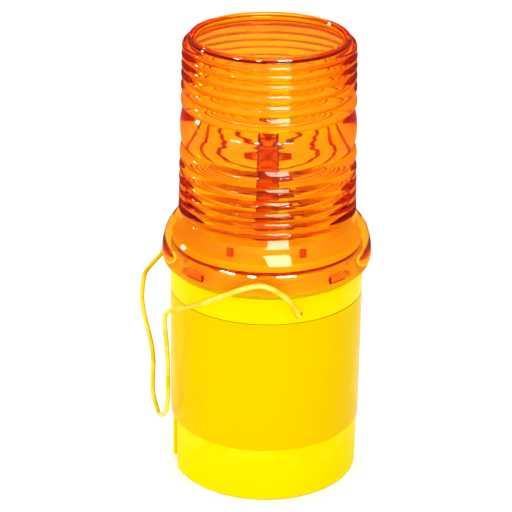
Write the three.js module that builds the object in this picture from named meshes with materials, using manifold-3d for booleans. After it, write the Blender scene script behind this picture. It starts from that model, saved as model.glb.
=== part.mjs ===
// Battery hazard lamp for traffic barriers: round battery case, amber drum lens, wire hanger.
// Units are millimetres, +Z is up, the origin is on the case's axis at its underside.
// The hanger swings about the Y direction and hangs on the -X side.
import * as THREE from 'three';
import { mergeVertices } from 'three/addons/utils/BufferGeometryUtils.js';
import Module from 'manifold-3d';

// Battery case
const CASE_R = 50.4;
const CASE_BAND_R = 49.75;
const CASE_LOW_R = 50.0;
const CASE_BASE_R = 49.4;
const CASE_BORE_R = 47.1;
const CASE_FLOOR = 2.8;
const BAND_BOTTOM = 30.2;
const BAND_TOP = 102.1;
const BAND_IN_R = 50.05;
const BAND_OUT_R = 50.45;
const NECK_R = 48.3;
const NECK_BORE_R = 45.9;
const NECK_START = 116.0;
const FLANGE_R = 50.0;
const FLANGE_UNDER = 125.4;
const CASE_TOP = 128.0;

// Flat back with its mounting rail, turned this far round from +X
const FLAT_TURN = 160.5;
const FLAT_DIST = 46.4;
const FLAT_BORE_DIST = 43.9;
const FLAT_TOP = 96.0;
const RAIL_DIST = 49.05;
const RAIL_HALF = 8.0;
const RAIL_BOTTOM = 2.8;

// Bayonet between lens and case
const LUG_TURN = 25.5;
const LUG_COUNT = 4;
const LUG_HALF_ANGLE = 8.0;
const NOTCH_HALF_ANGLE = 10.5;
const LUG_IN_R = 48.9;
const LUG_BOTTOM = 121.4;
const LUG_TOP = 124.6;

// Lens
const LENS_TOP = 238.2;
const LENS_DISC_TOP = 236.0;
const LENS_DISC_UNDER = 233.4;
const LENS_RIM_R = 39.8;
const LENS_RIM_IN_R = 37.4;
const RIB_DEPTH = 1.6;
const UPPER_NOTCHES = [236.2, 231.3, 226.3, 221.2, 215.7, 209.0, 201.3];
const LOWER_NOTCHES = [181.6, 173.1, 166.3, 160.6, 155.4, 150.4, 145.4];
const RIB_R_TOP = 43.9;
const RIB_R_LOW = 46.0;
const RIB_Z_TOP = 233.0;
const RIB_Z_LOW = 147.0;
const SKIRT_BOTTOM = 119.2;
const SKIRT_R = 54.1;
const SKIRT_IN_R = 51.4;

// Hanger
const WIRE_R = 1.3;
const PIVOT_Z = 106.4;
const PIVOT_HOLE_R = 1.7;
const WIRE_END_Y = 43.6;
const CLIP_R = 4.2;

// Lantern battery
const BATTERY_SIDE = 67.0;
const BATTERY_CORNER_R = 6.0;
const PAD_TOP = 6.0;
const JACKET_TOP = 102.4;
const BATTERY_TOP = 105.6;
const SPRING_TOP = 120.8;
const SPRING_OFFSET = 31.0;

// Lamp module
const CONTACT_Z = 121.1;
const CONTACT_T = 0.8;
const DECK_BOTTOM = 130.0;
const DECK_FLANGE_TOP = 133.9;
const DECK_R = 48.6;
const DRUM_R = 36.0;
const DRUM_TOP = 139.0;
const PCB_R = 31.0;
const PCB_BOTTOM = 139.3;
const PCB_TOP = 140.9;
const TUBE_R = 5.6;
const TUBE_TOP = 179.6;
const DOME_R = 3.7;
const LAMP_TOP = 183.2;

const ROUND = 64;
const LENS_ROUND = 48;
const SMALL_ROUND = 20;

const wasm = await Module();
wasm.setup();

const group = new THREE.Group();
group.name = 'barrier_hazard_lamp';

const COLOURS = {
  case_yellow: 0xf6d605,
  band_yellow: 0xeec105,
  lens_amber: 0xf07a08,
  wire_yellow: 0xf5d714,
  steel: 0xb8bcc0,
  rubber_red: 0x8e1a08,
  battery_blue: 0x27407a,
  battery_black: 0x1c1c1e,
  brass: 0xc9a24a,
  deck_yellow: 0xefb80c,
  board_tan: 0xb98d5a,
  parts_dark: 0x232427,
  parts_tan: 0xc8a878,
  lamp_clear: 0xf4b640,
  foam_grey: 0x6c6f72,
};

const deg = (a) => (a * Math.PI) / 180;

// Joins shared corners, drops empty triangles and turns the faces outward.
function clean(source) {
  const bare = source.clone();
  bare.deleteAttribute('normal');
  bare.deleteAttribute('uv');
  const merged = mergeVertices(bare, 1e-4);
  const index = merged.index.array;
  const position = merged.attributes.position;
  const kept = [];
  const a = new THREE.Vector3();
  const b = new THREE.Vector3();
  const c = new THREE.Vector3();
  let volume = 0;
  for (let i = 0; i < index.length; i += 3) {
    const [p, q, r] = [index[i], index[i + 1], index[i + 2]];
    if (p === q || q === r || r === p) continue;
    kept.push(p, q, r);
    a.fromBufferAttribute(position, p);
    b.fromBufferAttribute(position, q);
    c.fromBufferAttribute(position, r);
    volume += a.dot(b.cross(c));
  }
  if (volume < 0) {
    for (let i = 0; i < kept.length; i += 3) {
      [kept[i + 1], kept[i + 2]] = [kept[i + 2], kept[i + 1]];
    }
  }
  merged.setIndex(kept);
  return merged;
}

function solid(geometry) {
  const g = clean(geometry);
  const mesh = new wasm.Mesh({
    numProp: 3,
    vertProperties: new Float32Array(g.attributes.position.array),
    triVerts: new Uint32Array(g.index.array),
  });
  return new wasm.Manifold(mesh);
}

function geometryOf(manifold) {
  const mesh = manifold.getMesh();
  const g = new THREE.BufferGeometry();
  g.setAttribute('position', new THREE.BufferAttribute(new Float32Array(mesh.vertProperties), 3));
  g.setIndex(new THREE.BufferAttribute(new Uint32Array(mesh.triVerts), 1));
  return g;
}

function add(name, shape, colour) {
  const geometry = shape instanceof THREE.BufferGeometry ? clean(shape) : geometryOf(shape);
  geometry.computeVertexNormals();
  const material = new THREE.MeshStandardMaterial({ color: COLOURS[colour], name: colour });
  const mesh = new THREE.Mesh(geometry, material);
  mesh.name = name;
  group.add(mesh);
}

// Revolves [radius, height] points round Z; the profile meets the axis at both ends or closes.
function revolve(points, segments = ROUND) {
  const g = new THREE.LatheGeometry(points.map(([r, z]) => new THREE.Vector2(r, z)), segments);
  g.rotateX(Math.PI / 2);
  return g;
}

function ring(inner, outer, bottom, top, segments = ROUND) {
  return revolve([[inner, bottom], [outer, bottom], [outer, top], [inner, top], [inner, bottom]], segments);
}

function disc(radius, bottom, top, segments = SMALL_ROUND) {
  return revolve([[0, bottom], [radius, bottom], [radius, top], [0, top]], segments);
}

function block(sx, sy, sz, x, y, z) {
  const g = new THREE.BoxGeometry(sx, sy, sz);
  g.translate(x, y, z);
  return g;
}

// Part of a ring between two angles in degrees
function sector(inner, outer, from, to, bottom, top) {
  const s = new THREE.Shape();
  s.absarc(0, 0, outer, deg(from), deg(to), false);
  s.absarc(0, 0, inner, deg(to), deg(from), true);
  s.closePath();
  const g = new THREE.ExtrudeGeometry(s, { depth: top - bottom, bevelEnabled: false, curveSegments: 5 });
  g.translate(0, 0, bottom);
  return g;
}

function roundedSquare(side, corner, bottom, top) {
  const h = side / 2;
  const k = h - corner;
  const s = new THREE.Shape();
  s.absarc(k, k, corner, 0, deg(90), false);
  s.absarc(-k, k, corner, deg(90), deg(180), false);
  s.absarc(-k, -k, corner, deg(180), deg(270), false);
  s.absarc(k, -k, corner, deg(270), deg(360), false);
  s.closePath();
  const g = new THREE.ExtrudeGeometry(s, { depth: top - bottom, bevelEnabled: false, curveSegments: 6 });
  g.translate(0, 0, bottom);
  g.rotateZ(deg(FLAT_TURN));
  return g;
}

function rod(points, radius, steps, sides = 8) {
  const path = new THREE.CatmullRomCurve3(points.map((p) => new THREE.Vector3(...p)), false, 'centripetal');
  const s = new THREE.Shape();
  for (let i = 0; i < sides; i += 1) {
    const a = (2 * Math.PI * i) / sides;
    const [x, y] = [radius * Math.cos(a), radius * Math.sin(a)];
    if (i === 0) s.moveTo(x, y);
    else s.lineTo(x, y);
  }
  s.closePath();
  return new THREE.ExtrudeGeometry(s, { steps, extrudePath: path, curveSegments: 1 });
}

function coil(x, y, bottom, top, lowRadius, highRadius, turns, wire) {
  const points = [];
  const perTurn = 12;
  const total = turns * perTurn;
  for (let i = 0; i <= total; i += 1) {
    const t = i / total;
    const a = 2 * Math.PI * turns * t;
    const r = lowRadius + (highRadius - lowRadius) * t;
    points.push([x + r * Math.cos(a), y + r * Math.sin(a), bottom + wire + (top - bottom - 2 * wire) * t]);
  }
  return rod(points, wire, total, 6);
}

const flatDirection = [Math.cos(deg(FLAT_TURN)), Math.sin(deg(FLAT_TURN))];

// A block whose near face stands square to the flat's direction at a given distance
function flatBlock(near, far, half, bottom, top) {
  const g = block(far - near, 2 * half, top - bottom, (near + far) / 2, 0, (top + bottom) / 2);
  g.rotateZ(deg(FLAT_TURN));
  return g;
}

// Case: shell, flat back, rail, bayonet flange and hanger holes
let caseBody = solid(revolve([
  [0, 0],
  [47.6, 0],
  [48.8, 0.4],
  [CASE_BASE_R, 1.6],
  [CASE_LOW_R, BAND_BOTTOM - 0.3],
  [CASE_BAND_R, BAND_BOTTOM - 0.3],
  [CASE_BAND_R, BAND_TOP + 0.3],
  [CASE_R, BAND_TOP + 0.3],
  [CASE_R, NECK_START],
  [NECK_R, NECK_START + 1.4],
  [NECK_R, FLANGE_UNDER],
  [FLANGE_R, FLANGE_UNDER],
  [FLANGE_R, CASE_TOP - 0.6],
  [FLANGE_R - 0.6, CASE_TOP],
  [0, CASE_TOP],
]));
caseBody = caseBody.subtract(solid(flatBlock(FLAT_DIST, 60, 30, -1, FLAT_TOP)));
let bore = solid(revolve([
  [0, CASE_FLOOR],
  [CASE_BORE_R - 1.2, CASE_FLOOR],
  [CASE_BORE_R, CASE_FLOOR + 1.2],
  [CASE_BORE_R, 111.0],
  [NECK_BORE_R, 113.5],
  [NECK_BORE_R, CASE_TOP + 1],
  [0, CASE_TOP + 1],
]));
bore = bore.subtract(solid(flatBlock(FLAT_BORE_DIST, 60, 30, -1, FLAT_TOP - 1)));
caseBody = caseBody.subtract(bore);
caseBody = caseBody.add(solid(flatBlock(FLAT_DIST - 1, RAIL_DIST, RAIL_HALF, RAIL_BOTTOM, FLAT_TOP)));
for (let i = 0; i < LUG_COUNT; i += 1) {
  const turn = LUG_TURN + (360 / LUG_COUNT) * i;
  const notch = sector(NECK_R, 52, turn - NOTCH_HALF_ANGLE, turn + NOTCH_HALF_ANGLE, 124, 129);
  caseBody = caseBody.subtract(solid(notch));
}
const pivotHole = new THREE.CylinderGeometry(PIVOT_HOLE_R, PIVOT_HOLE_R, 120, 16);
pivotHole.translate(0, 0, PIVOT_Z);
caseBody = caseBody.subtract(solid(pivotHole));
add('case', caseBody, 'case_yellow');

add('reflective_band', ring(BAND_IN_R, BAND_OUT_R, BAND_BOTTOM, BAND_TOP), 'band_yellow');

// Battery and its foam pad
add('battery_pad', roundedSquare(56, 4, CASE_FLOOR + 0.3, PAD_TOP), 'foam_grey');
add('battery_jacket', roundedSquare(BATTERY_SIDE, BATTERY_CORNER_R, PAD_TOP + 0.3, JACKET_TOP), 'battery_blue');
add('battery_top', roundedSquare(BATTERY_SIDE - 1, BATTERY_CORNER_R, JACKET_TOP + 0.3, BATTERY_TOP), 'battery_black');
const cornerX = SPRING_OFFSET * Math.cos(deg(FLAT_TURN + 45));
const cornerY = SPRING_OFFSET * Math.sin(deg(FLAT_TURN + 45));
add('terminal_spring_centre', coil(0, 0, BATTERY_TOP + 0.3, SPRING_TOP, 7.5, 3.6, 4, 0.6), 'steel');
add('terminal_spring_corner', coil(cornerX, cornerY, BATTERY_TOP + 0.3, SPRING_TOP, 6.2, 3.2, 4, 0.6), 'steel');

// Lamp module: deck, contacts, board and what is on it
let deck = solid(revolve([
  [0, DECK_BOTTOM],
  [DECK_R, DECK_BOTTOM],
  [DECK_R, DECK_FLANGE_TOP],
  [DRUM_R, DECK_FLANGE_TOP],
  [DRUM_R, DRUM_TOP - 1],
  [DRUM_R - 1, DRUM_TOP],
  [0, DRUM_TOP],
], LENS_ROUND));
deck = deck.add(solid(ring(25, 37, CONTACT_Z + CONTACT_T + 0.3, DECK_BOTTOM + 1, LENS_ROUND)));
deck = deck.add(solid(disc(11, CONTACT_Z + CONTACT_T + 0.3, DECK_BOTTOM + 1, 24)));
for (let i = 0; i < 4; i += 1) {
  const turn = [225.5, 275.5, 45.5, 95.5][i];
  deck = deck.add(solid(sector(41.5, 43.5, turn - 2.2, turn + 2.2, DECK_FLANGE_TOP - 1, DECK_FLANGE_TOP + 4.4)));
}
add('module_deck', deck, 'deck_yellow');
add('gasket', ring(46.1, 48.4, CASE_TOP + 0.3, DECK_BOTTOM - 0.3), 'rubber_red');
add('contact_ring', ring(26, 36, CONTACT_Z, CONTACT_Z + CONTACT_T, LENS_ROUND), 'brass');
add('contact_disc', disc(9, CONTACT_Z, CONTACT_Z + CONTACT_T), 'brass');
add('circuit_board', disc(PCB_R, PCB_BOTTOM, PCB_TOP, LENS_ROUND), 'board_tan');

const ON_BOARD = PCB_TOP + 0.3;
add('lamp_tube', revolve([
  [0, ON_BOARD],
  [7.2, ON_BOARD],
  [7.2, ON_BOARD + 2.6],
  [TUBE_R, ON_BOARD + 4.4],
  [TUBE_R, TUBE_TOP],
  [0, TUBE_TOP],
], SMALL_ROUND), 'lamp_clear');
add('lamp_dome', revolve([
  [0, TUBE_TOP + 0.3],
  [DOME_R, TUBE_TOP + 0.3],
  [DOME_R - 0.3, LAMP_TOP - 1.9],
  [DOME_R - 1.4, LAMP_TOP - 0.6],
  [0, LAMP_TOP],
], SMALL_ROUND), 'lamp_clear');
const sensor = revolve([[0, 0], [4.2, 0], [4.2, 3.0], [3.4, 4.2], [0, 4.2]], SMALL_ROUND);
sensor.translate(-18, -14, ON_BOARD);
add('daylight_sensor', sensor, 'parts_tan');
const can = revolve([[0, 0], [5.0, 0], [5.0, 11.4], [4.5, 12.0], [0, 12.0]], SMALL_ROUND);
can.translate(15, 15, ON_BOARD);
add('capacitor', can, 'parts_dark');
add('flasher_chip', block(9.8, 6.4, 3.4, -3, 18.5, ON_BOARD + 1.7), 'parts_dark');
add('transistor', block(4.6, 4.2, 4.8, 20.5, 0, ON_BOARD + 2.4), 'parts_dark');
for (let i = 0; i < 2; i += 1) {
  const g = new THREE.CylinderGeometry(1.4, 1.4, 7.2, 12);
  g.translate(-20 + 5.5 * i, 6, ON_BOARD + 1.4);
  add(`resistor_${'ab'[i]}`, g, 'parts_tan');
}
for (let i = 0; i < 3; i += 1) {
  const turn = deg(30 + 120 * i);
  const screw = revolve([[0, 0], [2.9, 0], [2.9, 1.2], [1.8, 2.0], [0, 2.0]], 16);
  screw.translate(27 * Math.cos(turn), 27 * Math.sin(turn), ON_BOARD);
  add(`board_screw_${'abc'[i]}`, screw, 'steel');
}
// Mode switch: body with a slot, slider that rides in it along Y
let switchBody = solid(block(7.0, 15.0, 5.6, 8.5, -17.5, ON_BOARD + 2.8));
switchBody = switchBody.subtract(solid(block(3.6, 11.6, 4.0, 8.5, -17.5, ON_BOARD + 5.0)));
add('switch_body', switchBody, 'parts_dark');
add('switch_slider', block(3.0, 3.4, 6.0, 8.5, -21.0, ON_BOARD + 3.3 + 3.0), 'case_yellow');

// Lens: ribbed drum, closed top, domed shoulder, skirt and bayonet lugs
const ribRadius = (z) => RIB_R_LOW + ((RIB_R_TOP - RIB_R_LOW) * (z - RIB_Z_LOW)) / (RIB_Z_TOP - RIB_Z_LOW);
const lensOuter = [
  [SKIRT_IN_R, SKIRT_BOTTOM],
  [SKIRT_R - 0.5, SKIRT_BOTTOM],
  [SKIRT_R, SKIRT_BOTTOM + 0.6],
  [54.4, 121.6],
  [54.5, 124.0],
  [54.2, 127.5],
  [53.65, 130.2],
  [52.8, 133.2],
  [51.35, 136.4],
  [49.1, 139.5],
  [46.4, 142.0],
  [ribRadius(LOWER_NOTCHES[6]) - RIB_DEPTH, LOWER_NOTCHES[6]],
];
function addRib(from, to) {
  const height = to - from;
  lensOuter.push([ribRadius(from + 0.27 * height) - 0.25, from + 0.27 * height]);
  lensOuter.push([ribRadius(from + 0.73 * height) - 0.25, from + 0.73 * height]);
  lensOuter.push([ribRadius(to) - RIB_DEPTH, to]);
}
for (let i = 6; i > 0; i -= 1) addRib(LOWER_NOTCHES[i], LOWER_NOTCHES[i - 1]);
const beltBottom = LOWER_NOTCHES[0];
const beltHeight = UPPER_NOTCHES[6] - beltBottom;
for (const [t, drop] of [[0.12, 0.8], [0.3, 0.17], [0.5, 0], [0.7, 0.17], [0.88, 0.8]]) {
  const z = beltBottom + t * beltHeight;
  lensOuter.push([ribRadius(z) - drop, z]);
}
lensOuter.push([ribRadius(UPPER_NOTCHES[6]) - RIB_DEPTH, UPPER_NOTCHES[6]]);
for (let i = 6; i > 1; i -= 1) addRib(UPPER_NOTCHES[i], UPPER_NOTCHES[i - 1]);
lensOuter.push([43.7, 233.0], [43.5, 234.1], [42.5, 235.0], [40.7, 235.6], [40.3, 237.4]);
lensOuter.push([LENS_RIM_R, LENS_TOP]);
lensOuter.push([LENS_RIM_IN_R, LENS_TOP], [LENS_RIM_IN_R - 0.6, LENS_DISC_TOP], [0, LENS_DISC_TOP]);
const lensInner = [
  [0, LENS_DISC_UNDER],
  [37.2, LENS_DISC_UNDER],
  [39.4, 231.6],
  [40.4, 189.0],
  [41.8, 145.0],
  [42.7, 142.4],
  [44.9, 140.1],
  [47.2, 137.9],
  [49.1, 135.3],
  [50.4, 132.4],
  [51.2, 129.7],
  [SKIRT_IN_R, 127.6],
  [SKIRT_IN_R, SKIRT_BOTTOM],
];
let lens = solid(revolve([...lensOuter, ...lensInner], LENS_ROUND));
for (let i = 0; i < LUG_COUNT; i += 1) {
  const turn = LUG_TURN + (360 / LUG_COUNT) * i;
  const lug = sector(LUG_IN_R, 52.4, turn - LUG_HALF_ANGLE, turn + LUG_HALF_ANGLE, LUG_BOTTOM, LUG_TOP);
  lens = lens.add(solid(lug));
}
add('lens', lens, 'lens_amber');

// Hanger: one bent wire, the same on both sides of the X axis, held by two spring clips
const arm = [
  [0, WIRE_END_Y, PIVOT_Z],
  [0, 50.6, PIVOT_Z],
  [-0.9, 52.9, PIVOT_Z + 0.7],
  [-3.4, 55.0, 111.6],
  [-7.0, 57.1, 117.0],
  [-11.5, 58.3, 122.2],
  [-17.4, 57.7, 126.5],
  [-23.2, 56.0, 128.2],
  [-30.2, 52.3, 126.0],
  [-38.8, 44.4, 119.8],
  [-44.0, 37.4, 114.4],
  [-47.6, 33.4, 111.5],
  [-51.4, 30.6, 109.6],
  [-55.4, 27.8, 107.8],
  [-59.0, 24.4, 105.8],
  [-61.0, 21.2, 103.0],
  [-61.7, 20.7, 98.6],
  [-61.6, 22.0, 92.0],
  [-60.8, 21.4, 83.6],
  [-59.5, 18.0, 74.8],
  [-58.5, 15.0, 66.4],
  [-58.2, 13.9, 58.0],
  [-58.5, 14.1, 49.5],
  [-59.1, 12.4, 42.2],
];
const hangerPath = [
  ...arm.map(([x, y, z]) => [x, -y, z]),
  [-59.4, 0, 34.6],
  ...arm.slice().reverse(),
];
add('hanger_wire', rod(hangerPath, WIRE_R, 120), 'wire_yellow');
for (const [name, side] of [['hanger_clip_front', -1], ['hanger_clip_back', 1]]) {
  const g = ring(WIRE_R + 0.3, CLIP_R, 0, 1.2, 16);
  g.rotateX(deg(90));
  g.translate(0, side * 45.6 + 0.6, PIVOT_Z);
  add(name, g, 'steel');
}

export default group;
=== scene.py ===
"""Battery hazard lamp: detailed pieces, materials, light and camera over the CAD frame.

Lengths are in millimetres and angles in degrees, until MM turns lengths into the frame's metres.
Lengths inside materials, lights and the camera are in metres.
"""
import math

import bmesh
import bpy
from mathutils import Matrix, Vector


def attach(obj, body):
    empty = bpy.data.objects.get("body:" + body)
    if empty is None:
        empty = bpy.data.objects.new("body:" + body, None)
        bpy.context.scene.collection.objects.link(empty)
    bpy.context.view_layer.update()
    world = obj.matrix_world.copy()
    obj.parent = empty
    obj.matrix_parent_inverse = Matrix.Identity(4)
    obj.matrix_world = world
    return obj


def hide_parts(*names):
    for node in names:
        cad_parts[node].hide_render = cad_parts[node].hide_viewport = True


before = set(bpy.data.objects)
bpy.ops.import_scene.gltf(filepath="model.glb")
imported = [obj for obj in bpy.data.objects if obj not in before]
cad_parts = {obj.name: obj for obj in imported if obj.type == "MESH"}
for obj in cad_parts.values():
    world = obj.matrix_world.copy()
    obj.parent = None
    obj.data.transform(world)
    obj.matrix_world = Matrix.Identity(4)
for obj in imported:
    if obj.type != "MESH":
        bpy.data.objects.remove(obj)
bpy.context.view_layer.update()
scene = bpy.context.scene
MM = 0.001

# ---------------------------------------------------------------- shared sizes

# The case's flat side and the rail on it
FLAT_TURN = 160.5
FLAT_DIST = 46.4
FLAT_BORE_DIST = 43.9
FLAT_TOP = 96.0
RAIL_DIST = 49.05
RAIL_ROOT = 45.6
RAIL_HALF = 8.0
RAIL_BOTTOM = 2.8

# The case's flange and the hanger's two holes
FLANGE_R = 50.0
FLANGE_NECK_R = 48.3
NOTCH_HALF = 10.5
PIVOT_Z = 106.4
PIVOT_R = 1.7

# The lens's lugs
LUG_TURNS = [25.5, 115.5, 205.5, 295.5]
LUG_HALF = 8.0
LUG_RAMP = 2.4
LUG_R = 48.9
SKIRT_BORE_R = 51.4

# Levels inside the head
CONTACT_BOTTOM = 121.1
CONTACT_TOP = 121.9
DECK_FOOT = 122.2
DECK_BOTTOM = 130.0
DECK_FLANGE_TOP = 133.9
BOARD_BOTTOM = 139.3
BOARD_TOP = 140.9
ON_BOARD = BOARD_TOP + 0.3


# ---------------------------------------------------------------- mesh helpers

def shade_smooth(obj, angle):
    """Smooth shading, with edges sharper than the angle kept crisp."""
    obj.data.polygons.foreach_set("use_smooth", [True] * len(obj.data.polygons))
    obj.data.set_sharp_from_angle(angle=math.radians(angle))


def add_object(name, bm, smooth_angle=35.0):
    """Turns a bmesh in metres into an object, and frees it."""
    bmesh.ops.remove_doubles(bm, verts=bm.verts, dist=1e-7)
    bmesh.ops.dissolve_degenerate(bm, edges=bm.edges, dist=1e-7)
    bmesh.ops.recalc_face_normals(bm, faces=bm.faces)
    mesh = bpy.data.meshes.new(name)
    bm.to_mesh(mesh)
    bm.free()
    obj = bpy.data.objects.new(name, mesh)
    scene.collection.objects.link(obj)
    shade_smooth(obj, smooth_angle)
    return obj


def fillet(points, steps=5):
    """Points are (r, z) or (r, z, radius). A corner with a radius is rounded off by about that much."""
    out = []
    n = len(points)
    for i, p in enumerate(points):
        if len(p) < 3:
            out.append((p[0], p[1]))
            continue
        here = Vector((p[0], p[1]))
        before = Vector(points[i - 1][:2]) - here
        after = Vector(points[(i + 1) % n][:2]) - here
        half = before.angle(after) / 2
        reach = p[2] / math.tan(half)
        reach = min(reach, before.length * 0.49, after.length * 0.49)
        a = here + before.normalized() * reach
        b = here + after.normalized() * reach
        for k in range(steps + 1):
            t = k / steps
            q = a * (1 - t) ** 2 + here * 2 * t * (1 - t) + b * t ** 2
            out.append((q.x, q.y))
    return out


def spline(points, steps=6):
    """A smooth line through the points, centripetal like the hanger's path in the CAD model."""
    pts = [Vector(p) for p in points]
    pts = [pts[0] * 2 - pts[1]] + pts + [pts[-1] * 2 - pts[-2]]
    out = []
    for i in range(1, len(pts) - 2):
        p0, p1, p2, p3 = pts[i - 1:i + 3]
        t0 = 0.0
        t1 = t0 + (p1 - p0).length ** 0.5
        t2 = t1 + (p2 - p1).length ** 0.5
        t3 = t2 + (p3 - p2).length ** 0.5
        for k in range(steps):
            t = t1 + (t2 - t1) * k / steps
            a1 = p0 * ((t1 - t) / (t1 - t0)) + p1 * ((t - t0) / (t1 - t0))
            a2 = p1 * ((t2 - t) / (t2 - t1)) + p2 * ((t - t1) / (t2 - t1))
            a3 = p2 * ((t3 - t) / (t3 - t2)) + p3 * ((t - t2) / (t3 - t2))
            b1 = a1 * ((t2 - t) / (t2 - t0)) + a2 * ((t - t0) / (t2 - t0))
            b2 = a2 * ((t3 - t) / (t3 - t1)) + a3 * ((t - t1) / (t3 - t1))
            out.append(b1 * ((t2 - t) / (t2 - t1)) + b2 * ((t - t1) / (t2 - t1)))
    out.append(pts[-2])
    return [tuple(p) for p in out]


def turned(profile, segments=160, radius=None, angles=None, centre=(0, 0)):
    """Revolves the profile round Z.

    angles holds (angle, side) for each column. radius(point, angle, side) can give a point another
    distance from the axis.
    """
    bm = bmesh.new()
    if angles is None:
        angles = [(360 * k / segments, 0) for k in range(segments)]
    rings = []
    for point in profile:
        r, z = point[0], point[1]
        if r == 0:
            rings.append([bm.verts.new((centre[0] * MM, centre[1] * MM, z * MM))])
            continue
        ring = []
        for angle, side in angles:
            rr = radius(point, angle, side) if radius else r
            a = math.radians(angle)
            x = centre[0] + rr * math.cos(a)
            y = centre[1] + rr * math.sin(a)
            ring.append(bm.verts.new((x * MM, y * MM, z * MM)))
        rings.append(ring)
    count = len(angles)
    pairs = list(zip(rings, rings[1:]))
    if len(rings[0]) > 1 and len(rings[-1]) > 1:
        pairs.append((rings[-1], rings[0]))
    for low, high in pairs:
        for k in range(count):
            m = (k + 1) % count
            corners = []
            for v in (low[k % len(low)], low[m % len(low)], high[m % len(high)], high[k % len(high)]):
                if v not in corners:
                    corners.append(v)
            if len(corners) > 2:
                bm.faces.new(corners)
    return bm


def turn_between(angle, middle):
    """The turn from middle to angle, from -180 up to 180."""
    return (angle - middle + 180) % 360 - 180


def split_angles(segments, cuts):
    """Columns round the circle, doubled at each cut, so that a step there is square."""
    marks = [c % 360 for c in cuts]
    plain = [360 * k / segments for k in range(segments)]
    plain = [a for a in plain if all(abs(turn_between(a, c)) > 0.35 for c in marks)]
    out = [(a, 0) for a in plain]
    for c in marks:
        out += [(c, -1), (c, 1)]
    return sorted(out)


def within(angle, side, middle, half):
    """True where the angle is inside middle +- half; at a doubled column side says which copy this is."""
    d = turn_between(angle, middle)
    if abs(abs(d) - half) < 1e-4:
        return (side > 0) if d < 0 else (side < 0)
    return abs(d) < half


def swept(path, radius, sides=20):
    """A round tube along the path, in metres. radius is a number or a function of the step's share."""
    bm = bmesh.new()
    pts = [Vector(p) for p in path]
    tangents = []
    for i in range(len(pts)):
        tangents.append((pts[min(i + 1, len(pts) - 1)] - pts[max(i - 1, 0)]).normalized())
    normal = tangents[0].orthogonal().normalized()
    rings = []
    for i, p in enumerate(pts):
        if i:
            normal = tangents[i - 1].rotation_difference(tangents[i]) @ normal
        across = tangents[i].cross(normal).normalized()
        r = radius(i / (len(pts) - 1)) if callable(radius) else radius
        ring = []
        for k in range(sides):
            a = 2 * math.pi * k / sides
            ring.append(bm.verts.new(p + (normal * math.cos(a) + across * math.sin(a)) * r))
        rings.append(ring)
    for low, high in zip(rings, rings[1:]):
        for k in range(sides):
            bm.faces.new((low[k], low[(k + 1) % sides], high[(k + 1) % sides], high[k]))
    bm.faces.new(rings[0][::-1])
    bm.faces.new(rings[-1])
    return bm


def rounded_outline(half_x, half_y, corner, steps):
    """Points round a rectangle with round corners."""
    out = []
    for cx, cy, start in ((1, 1, 0), (-1, 1, 90), (-1, -1, 180), (1, -1, 270)):
        for k in range(steps + 1):
            a = math.radians(start + 90 * k / steps)
            x = cx * (half_x - corner) + corner * math.cos(a)
            y = cy * (half_y - corner) + corner * math.sin(a)
            out.append((x, y))
    return out


def slab(half_x, half_y, corner, levels, centre=(0, 0), turn=0.0, steps=8):
    """A rounded box from levels of (z, inset): each level is the outline drawn in by its inset."""
    bm = bmesh.new()
    spin = Matrix.Rotation(math.radians(turn), 3, "Z")
    rings = []
    for z, inset in levels:
        ring = []
        for x, y in rounded_outline(half_x - inset, half_y - inset, max(corner - inset, 0.05), steps):
            p = spin @ Vector((x, y, 0))
            ring.append(bm.verts.new(((p.x + centre[0]) * MM, (p.y + centre[1]) * MM, z * MM)))
        rings.append(ring)
    n = len(rings[0])
    for low, high in zip(rings, rings[1:]):
        for k in range(n):
            bm.faces.new((low[k], low[(k + 1) % n], high[(k + 1) % n], high[k]))
    bm.faces.new(rings[0][::-1])
    bm.faces.new(rings[-1])
    return bm


def soft_levels(bottom, top, edge, steps=4):
    """Levels for slab with a rounded edge at the bottom and the top."""
    turns = [math.pi / 2 * k / steps for k in range(steps + 1)]
    low = [(bottom + edge * (1 - math.cos(a)), edge * (1 - math.sin(a))) for a in turns]
    high = [(top - edge * (1 - math.cos(a)), edge * (1 - math.sin(a))) for a in turns[::-1]]
    return low + high


def join(*parts):
    """Puts several bmeshes in one."""
    out = bmesh.new()
    for part in parts:
        mesh = bpy.data.meshes.new("part")
        part.to_mesh(mesh)
        part.free()
        out.from_mesh(mesh)
        bpy.data.meshes.remove(mesh)
    return out


def cut(obj, tool, angle, operation="DIFFERENCE"):
    """Applies a boolean with a helper object, which is then removed, and shades the result again."""
    mod = obj.modifiers.new("cut", "BOOLEAN")
    mod.operation = operation
    mod.object = tool
    mod.solver = "MANIFOLD"
    depsgraph = bpy.context.evaluated_depsgraph_get()
    mesh = bpy.data.meshes.new_from_object(obj.evaluated_get(depsgraph))
    obj.modifiers.clear()
    old = obj.data
    obj.data = mesh
    bpy.data.meshes.remove(old)
    tool_mesh = tool.data
    bpy.data.objects.remove(tool)
    bpy.data.meshes.remove(tool_mesh)
    shade_smooth(obj, angle)


def dress(obj, material, body, node):
    """Gives a piece its material, its moving body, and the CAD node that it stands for."""
    obj.data.materials.clear()
    obj.data.materials.append(material)
    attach(obj, body)
    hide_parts(node)


# ---------------------------------------------------------------- materials

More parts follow.
